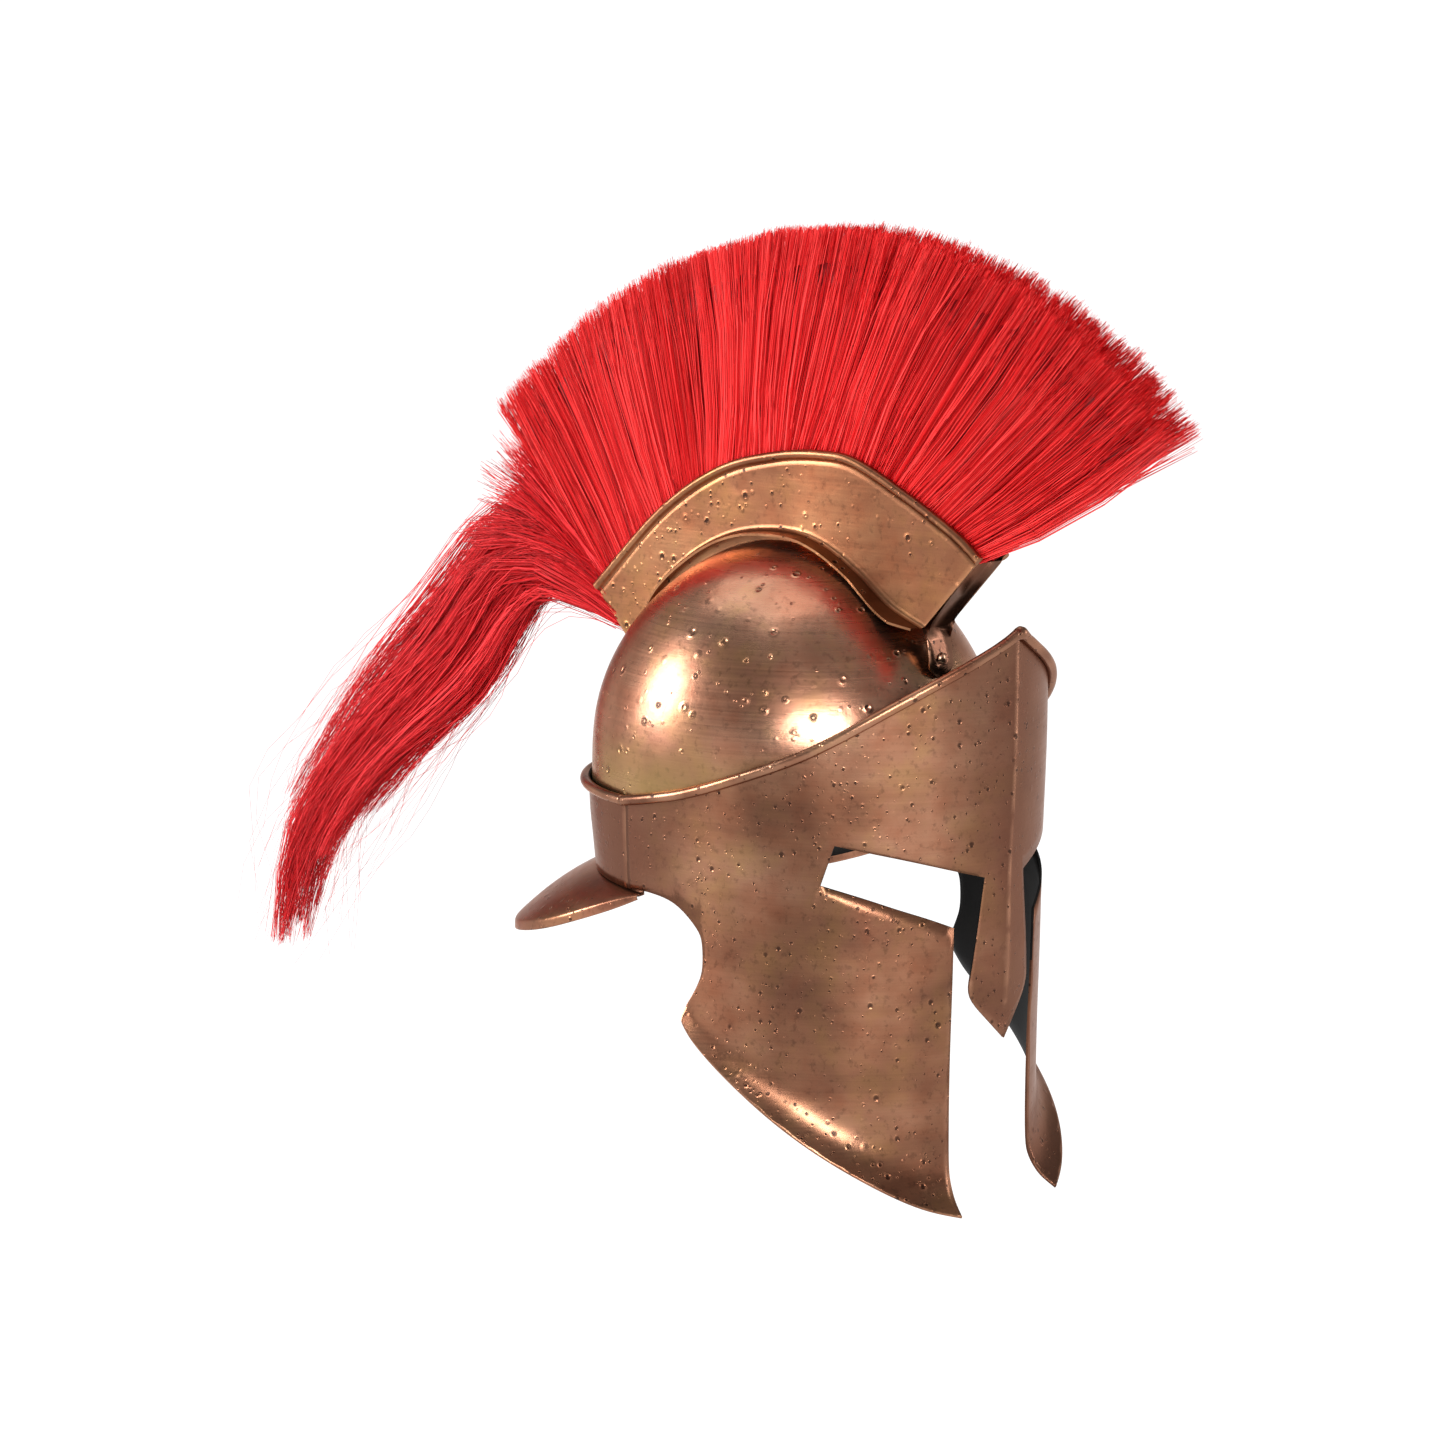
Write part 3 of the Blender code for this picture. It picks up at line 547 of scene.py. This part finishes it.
def crest_box():
    """The hair's channel: two plates with rolled top beads, a base strip with flanges, a soldered seat."""
    feet, tops = box_line(BOX_FOOT, BOX_CELLS), box_line(BOX_TOP, BOX_CELLS)
    plates, base, seat = {-1: [], 1: []}, [], []
    for k, (foot, top) in enumerate(zip(feet, tops)):
        at_front = k == BOX_CELLS
        up = (top - foot).normalized()
        run = (feet[min(k + 1, BOX_CELLS)] - feet[max(k - 1, 0)]).normalized()
        below = Vector((0.0, -run.z, run.y))
        for side in plates:
            ring = [foot + up * h + Vector((side * (FACE + out), 0, 0)) for out, h in PLATE_FOOT]
            ring += [top - up * h + Vector((side * (FACE + out), 0, 0)) for out, h in PLATE_BEAD]
            ring.append(foot - up * LAP + Vector((side * (FACE - SHEET), 0, 0)))
            plates[side].append(ring)
        low = below * to_dome(foot, below)
        left, right = Vector((-FACE + 0.0002, 0, 0)), Vector((FACE - 0.0002, 0, 0))
        seat.append([foot + p - run * LAP * at_front for p in (left, right, right + low, left + low)])
        wide = between(FLANGE, k / BOX_CELLS, 1)
        back = -run * STRIP_SHORT if at_front else Vector((0, 0, 0))
        half = [
            Vector((FACE - 0.0006, 0, 0)), Vector((FACE + wide, 0, 0)) + below * (wide * FLANGE_DROP),
        ]
        half += [half[1] + below * SHEET, half[0] + below * SHEET]
        other = [Vector((-p.x, p.y, p.z)) for p in reversed(half)]
        base.append([foot + back + p for p in half + other])
    return tubes("crest_box_fine", [plates[-1], plates[1], base, seat[:-SEAT_SHORT]])


box = crest_box()
# Near the plates' bends and the flange's edge the mark adds a painted highlight as well as wear.
mark_wear_and_edge_highlight(box, reach=0.0012)
ship(box, "crest_box", (GOLDEN,))

TAB_TOP = -0.0375
cap = refined("crest_cap", sharp=24.0, levels=1)
mark_wear_and_edge_highlight(cap)
ship(cap, "crest_cap", (DARK, COPPER))
# The cap's face above the tab gets the dark copper, painted shade on the box's front end; the tab below takes
# the visor's copper.
for face in cap.data.polygons:
    if face.center.z < TAB_TOP:
        face.material_index = 1

rivet = refined("front_rivet")
mark_wear_and_edge_highlight(rivet)
ship(rivet, "front_rivet", (RIVET_HIGHLIGHT,))


def strands_tree():
    """Fills each guide line with bristles that wander a little and taper to their tips."""
    tree = bpy.data.node_groups.new("bristles", "GeometryNodeTree")
    sockets = (
        ("Geometry", "INPUT", "NodeSocketGeometry", None), ("Geometry", "OUTPUT", "NodeSocketGeometry", None),
        ("Strands per guide", "INPUT", "NodeSocketInt", 20), ("Spread", "INPUT", "NodeSocketFloat", 0.003),
        ("Tip spread", "INPUT", "NodeSocketFloat", 1.0),
        ("Frizz", "INPUT", "NodeSocketFloat", 0.001), ("Frizz scale", "INPUT", "NodeSocketFloat", 12.0),
        ("Radius", "INPUT", "NodeSocketFloat", 0.0004), ("Seed", "INPUT", "NodeSocketInt", 1),
        ("Material", "INPUT", "NodeSocketMaterial", None),
    )
    for name, way, kind, value in sockets:
        socket = tree.interface.new_socket(name=name, in_out=way, socket_type=kind)
        if value is not None:
            socket.default_value = value
    given = add(tree, "NodeGroupInput").outputs
    lines = add(tree, "GeometryNodeMeshToCurve", {"Mesh": given["Geometry"]}).outputs[0]
    copies = add(tree, "GeometryNodeDuplicateElements", {
        "Geometry": lines, "Amount": given["Strands per guide"],
    }, domain="SPLINE").outputs[0]
    number = add(tree, "GeometryNodeInputIndex").outputs[0]
    along = add(tree, "GeometryNodeSplineParameter").outputs["Factor"]
    # The index is fixed per strand before the points move
    known = add(tree, "GeometryNodeCaptureAttribute", {"Geometry": copies}, domain="CURVE")
    known.capture_items.new("INT", "strand")
    tree.links.new(number, known.inputs["strand"])
    strand = known.outputs["strand"]
    side = add(tree, "FunctionNodeRandomValue", {
        0: (-1.0, -1.0, -1.0), 1: (1.0, 1.0, 1.0), "ID": strand, "Seed": given["Seed"],
    }, data_type="FLOAT_VECTOR").outputs[0]
    open_out, close_up, taper = (
        add(tree, "ShaderNodeMapRange", {
            "Value": along, "From Min": low, "From Max": high, "To Min": first, "To Max": last,
        }).outputs[0]
        for low, high, first, last in (
            (0.0, 0.6, 0.55, 1.0), (0.5, 1.0, 1.0, given["Tip spread"]), (0.5, 1.0, 1.0, 0.45),
        )
    )
    part, much, thick = (
        add(tree, "ShaderNodeMath", {0: a, 1: b}, operation="MULTIPLY").outputs[0]
        for a, b in ((open_out, close_up), (along, given["Frizz"]), (taper, given["Radius"]))
    )
    apart = add(tree, "ShaderNodeVectorMath", {0: side, 3: given["Spread"]}, operation="SCALE").outputs[0]
    aside = add(tree, "ShaderNodeVectorMath", {0: apart, 3: part}, operation="SCALE").outputs[0]
    shift = add(tree, "ShaderNodeVectorMath", {0: side, 3: 0.35}, operation="SCALE").outputs[0]
    where = add(tree, "GeometryNodeInputPosition").outputs[0]
    spot = add(tree, "ShaderNodeVectorMath", {0: where, 1: shift}, operation="ADD").outputs[0]
    wave = add(tree, "ShaderNodeTexNoise", {
        "Vector": spot, "Scale": given["Frizz scale"], "Detail": 1.0,
    }).outputs["Color"]
    middle = add(tree, "ShaderNodeVectorMath", {0: wave, 1: (0.5, 0.5, 0.5)}, operation="SUBTRACT").outputs[0]
    wander = add(tree, "ShaderNodeVectorMath", {0: middle, 3: much}, operation="SCALE").outputs[0]
    total = add(tree, "ShaderNodeVectorMath", {0: aside, 1: wander}, operation="ADD").outputs[0]
    moved = add(tree, "GeometryNodeSetPosition", {"Geometry": known.outputs[0], "Offset": total}).outputs[0]
    tint = add(tree, "FunctionNodeRandomValue", {
        2: 0.0, 3: 1.0, "ID": strand, "Seed": 7,
    }, data_type="FLOAT").outputs[1]
    shaded = add(tree, "GeometryNodeStoreNamedAttribute", {
        "Geometry": moved, "Name": "shade", "Value": tint,
    }, data_type="FLOAT", domain="CURVE").outputs[0]
    outline = add(tree, "GeometryNodeCurvePrimitiveCircle", {"Resolution": 3, "Radius": 1.0}).outputs[0]
    solid = add(tree, "GeometryNodeCurveToMesh", {
        "Curve": shaded, "Profile Curve": outline, "Fill Caps": True, "Scale": thick,
    }).outputs[0]
    whole = add(tree, "GeometryNodeRealizeInstances", {"Geometry": solid}).outputs[0]
    dyed = add(tree, "GeometryNodeSetMaterial", {
        "Geometry": whole, "Material": given["Material"],
    }).outputs[0]
    add(tree, "NodeGroupOutput", {0: dyed})
    return tree


STRANDS = strands_tree()


def grow(name, guides, **sizes):
    """Bristles along these guide lines, as one plain mesh."""
    mesh = bpy.data.meshes.new(name)
    points, edges = [], []
    for guide in guides:
        start = len(points)
        points += guide
        edges += [(start + k, start + k + 1) for k in range(len(guide) - 1)]
    mesh.from_pydata(points, edges, [])
    obj = new_piece(name, mesh)
    maker = obj.modifiers.new("bristles", "NODES")
    maker.node_group = STRANDS
    for item in STRANDS.interface.items_tree:
        if item.in_out == "INPUT" and item.name in sizes:
            maker[item.identifier] = sizes[item.name]
    return applied(obj)


# Station along the box from its rear end, lean in degrees from the back, and length in metres
CREST_FAN = (
    (0.0, 51.4, 0.113), (0.215, 74, 0.112), (0.379, 91.5, 0.112), (0.514, 105, 0.117),
    (0.70, 123, 0.1215), (0.817, 132.8, 0.130), (0.938, 144, 0.1325), (1.0, 149.7, 0.130),
)
FAN_STATIONS, FAN_ROWS = 240, 4
# How deep the hair starts in the box, half the fan's thickness at its root, and what its tips add to it
FAN_DEPTH, FAN_ROOT, FAN_OPENING = 0.010, 0.0066, 0.0094
ROOT_LINE = box_line(BOX_TOP, 400)


def crest_guides(side):
    """Guide lines of one half of the fan: soft uneven locks that lean a little over each other."""
    pick = random.Random(5 + side)
    guides = []
    for k in range(FAN_STATIONS):
        for row in range(FAN_ROWS):
            station = (k + pick.random()) / FAN_STATIONS
            at = ROOT_LINE[int(station * (len(ROOT_LINE) - 1))]
            sway = noise.noise(Vector((station * 16.0, row * 0.6, 3.7 * side)))
            sway += 0.45 * noise.noise(Vector((station * 47.0, row * 1.3, 9.1 * side)))
            lean = math.radians(between(CREST_FAN, station, 1)) + 0.055 * sway + pick.gauss(0.0, 0.018)
            length = between(CREST_FAN, station, 2) * pick.uniform(0.994, 1.0)
            bend = 0.008 * noise.noise(Vector((station * 9.0, 5.5, 2.0 * side))) + pick.gauss(0.0, 0.002)
            run = Vector((0.0, math.cos(lean), math.sin(lean)))
            across = Vector((0.0, -run.z, run.y))
            place = side * (row + 0.15 + 0.8 * pick.random()) / FAN_ROWS
            line = []
            for step in range(4):
                f = step / 3
                half = FAN_ROOT + FAN_OPENING * f ** 0.8
                reach = run * (length * f - FAN_DEPTH * (1 - f)) + across * (bend * math.sin(math.pi * f))
                line.append(at + reach + Vector((half * place, 0, 0)))
            guides.append(line)
    return guides


for side, name in ((-1, "crest_bristle_left"), (1, "crest_bristle_right")):
    ship(grow(name, crest_guides(side), **{
        "Strands per guide": 10, "Spread": 0.0022, "Tip spread": 1.0, "Frizz": 0.0040, "Frizz scale": 30.0,
        "Radius": 0.00025, "Seed": 3 + side, "Material": BRISTLE,
    }), "crest_hair")


def core(node, name, line, shrink, pull):
    """The dense middle of a tuft, inside its bristles and drawn back from their tips; its deeper red is
    painted shade.
    """
    bm = bmesh.new()
    bm.from_mesh(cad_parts[node].data)
    bmesh.ops.remove_doubles(bm, verts=bm.verts, dist=WELD)
    bm.normal_update()
    for vert, move in [(v, v.normal * shrink) for v in bm.verts]:
        vert.co -= move
        near = min(line, key=lambda p: (p - vert.co).length)
        vert.co = near.lerp(vert.co, pull)
    mesh = bpy.data.meshes.new(name)
    bm.to_mesh(mesh)
    bm.free()
    mesh.shade_smooth()
    ship(new_piece(name, mesh), node, (BRISTLE_CORE,))


core("crest_hair", "crest_core", box_line(BOX_TOP, 60), shrink=0.0035, pull=0.86)

# Middle line of the tail in metres, and its half depth and half width
TAIL = (
    (0.116, -0.052, 0.006, 0.0085), (0.150, -0.034, 0.016, 0.0130), (0.196, -0.028, 0.031, 0.0190),
    (0.246, -0.081, 0.037, 0.0205), (0.318, -0.143, 0.032, 0.0180), (0.370, -0.204, 0.026, 0.0150),
    (0.393, -0.268, 0.012, 0.0080),
)
TAIL_LINE = [Vector((0.0, y, z)) for y, z, _, _ in TAIL]
# The guides fill this share of the tail's size, and have this many fine steps and this many straight parts
TAIL_FILL, TAIL_STEPS, TAIL_PARTS = 1.25, 40, 13
# How much of the tail's length the shortest hair lacks, and how rare short hair is
TAIL_RAGGED, TAIL_RARITY = 0.30, 2.2


def tail_guides(count, locks, seed, stray=0.0):
    """Guide lines of the hanging tail, gathered in wavy locks that end at different lengths."""
    pick = random.Random(seed)
    heads = [
        (pick.uniform(0, 2 * math.pi), math.sqrt(pick.random()) * 0.92, pick.uniform(0.80, 1.06))
        for _ in range(locks)
    ]
    guides = []
    for k in range(count):
        angle, radius, end = heads[k % locks]
        own_angle, own_radius = pick.uniform(0, 2 * math.pi), math.sqrt(pick.random()) * 0.95
        wave = (pick.uniform(0, FULL_TURN), pick.uniform(0, FULL_TURN), pick.uniform(5.5, 9.0))
        line = []
        for j, (_, _, deep, wide) in enumerate(TAIL):
            f = j / (len(TAIL) - 1)
            before, after = TAIL_LINE[max(j - 1, 0)], TAIL_LINE[min(j + 1, len(TAIL) - 1)]
            run = (after - before).normalized()
            across = Vector((0.0, -run.z, run.y))
            gather = 0.25 + 0.45 * f
            up = (1 - gather) * own_radius * math.sin(own_angle) + gather * radius * math.sin(angle)
            out = (1 - gather) * own_radius * math.cos(own_angle) + gather * radius * math.cos(angle)
            sway = (0.0010 + 0.0035 * f + stray * f) * (j > 0)
            line.append(
                TAIL_LINE[j] + across * (TAIL_FILL * deep * up + sway * math.sin(wave[0] + wave[2] * f))
                + Vector((TAIL_FILL * wide * out + sway * math.sin(wave[1] + wave[2] * f), 0, 0))
            )
        cut = end * (1.0 - TAIL_RAGGED * pick.random() ** TAIL_RARITY)
        fine = on_curve(line, TAIL_STEPS)
        goal = min(cut, 1.0) * TAIL_STEPS
        guides.append([fine[int(goal * i / TAIL_PARTS)] for i in range(TAIL_PARTS + 1)])
    return guides


def filling_guides(count):
    """Short hair from the rear end of the box, between the fan and the tail."""
    pick = random.Random(21)
    guides = []
    for _ in range(count):
        open_up = pick.random()
        start = ROOT_LINE[int(10 * pick.random())] - Vector((0, 0.010 * pick.random(), 0.004))
        lean = math.radians(20 + 34 * open_up)
        length = (0.125 - 0.010 * open_up) * pick.uniform(0.82, 1.0)
        droop = 0.070 * (1 - open_up) + 0.008
        side = pick.uniform(-1, 1)
        line = []
        for step in range(7):
            f = step / 6
            line.append(start + Vector((
                side * (0.007 + 0.011 * f), math.cos(lean) * length * f,
                math.sin(lean) * length * f - droop * f * f,
            )))
        guides.append(line)
    return guides


TAIL_SIZES = ("Strands per guide", "Spread", "Tip spread", "Frizz", "Frizz scale", "Radius")
for name, guides, sizes in (
    ("tail_bristle", tail_guides(112, 16, 11), (20, 0.0046, 0.45, 0.016, 13.0, 0.00027)),
    ("tail_loose", tail_guides(90, 90, 12, stray=0.014), (3, 0.0080, 1.5, 0.050, 9.0, 0.00015)),
    ("tail_root", filling_guides(110), (22, 0.0042, 1.2, 0.016, 18.0, 0.00030)),
):
    ship(grow(name, guides, **dict(zip(TAIL_SIZES, sizes)), Seed=9, Material=TAIL_BRISTLE), "tail_hair")

# Name, place, width and height in metres, and watts
PANELS = (
    ("rear_left_panel", (-1.80, 2.20, 0.90), 0.9, 1.3, 95),
    ("front_panel", (-2.25, -2.25, 1.15), 1.9, 0.8, 105),
    ("right_panel", (2.2, -1.6, 0.3), 0.5, 1.4, 16),
    ("top_panel", (0.3, 0.8, 2.6), 2.4, 2.4, 34),
)


def studio():
    """A pale floor and soft light from large panels."""
    mesh = bpy.data.meshes.new("floor")
    bm = bmesh.new()
    bmesh.ops.create_circle(bm, cap_ends=True, segments=96, radius=FLOOR_RADIUS)
    for vert in bm.verts:
        vert.co.z = FLOOR_LEVEL
    bm.to_mesh(mesh)
    bm.free()
    floor = new_piece("floor", mesh)
    material, tree, shader = new_material("white_paper_sweep")
    feed(tree, shader, {
        "Base Color": from_hex("#6a6a6a"), "Roughness": 0.9,
        "Emission Color": grey(1.0), "Emission Strength": 0.98,
    })
    mesh.materials.append(material)

    world = bpy.data.worlds.new("studio")
    bpy.context.scene.world = world
    world.use_nodes = True
    tree = world.node_tree
    toward = add(tree, "ShaderNodeTexCoord").outputs["Generated"]
    upward = add(tree, "ShaderNodeSeparateXYZ", {0: toward}).outputs["Z"]
    room = add(tree, "ShaderNodeValToRGB", {"Fac": upward}, (
        (0.0, grey(1.0)), (0.12, grey(0.95)), (0.26, grey(0.40)), (0.7, grey(0.34)), (1.0, grey(0.45)),
    )).outputs["Color"]
    feed(tree, tree.nodes["Background"], {"Color": room})

    for name, place, width, height, watts in PANELS:
        lamp = bpy.data.lights.new(name, "AREA")
        lamp.shape = "RECTANGLE"
        lamp.size, lamp.size_y = width, height
        lamp.energy = watts
        obj = new_piece(name, lamp)
        obj.location = place
        obj.rotation_euler = (AIM - Vector(place)).to_track_quat("-Z", "Y").to_euler()
    bpy.context.scene.view_settings.view_transform = "Standard"


def camera():
    away = Vector((
        math.sin(AZIMUTH) * math.cos(ELEVATION),
        -math.cos(AZIMUTH) * math.cos(ELEVATION),
        math.sin(ELEVATION),
    ))
    lens = bpy.data.cameras.new("camera")
    lens.lens, lens.sensor_width = 107.25, 36.0
    obj = new_piece("camera", lens)
    obj.location = AIM + away * DISTANCE
    obj.rotation_euler = (-away).to_track_quat("-Z", "Y").to_euler()
    bpy.context.scene.camera = obj


studio()
camera()
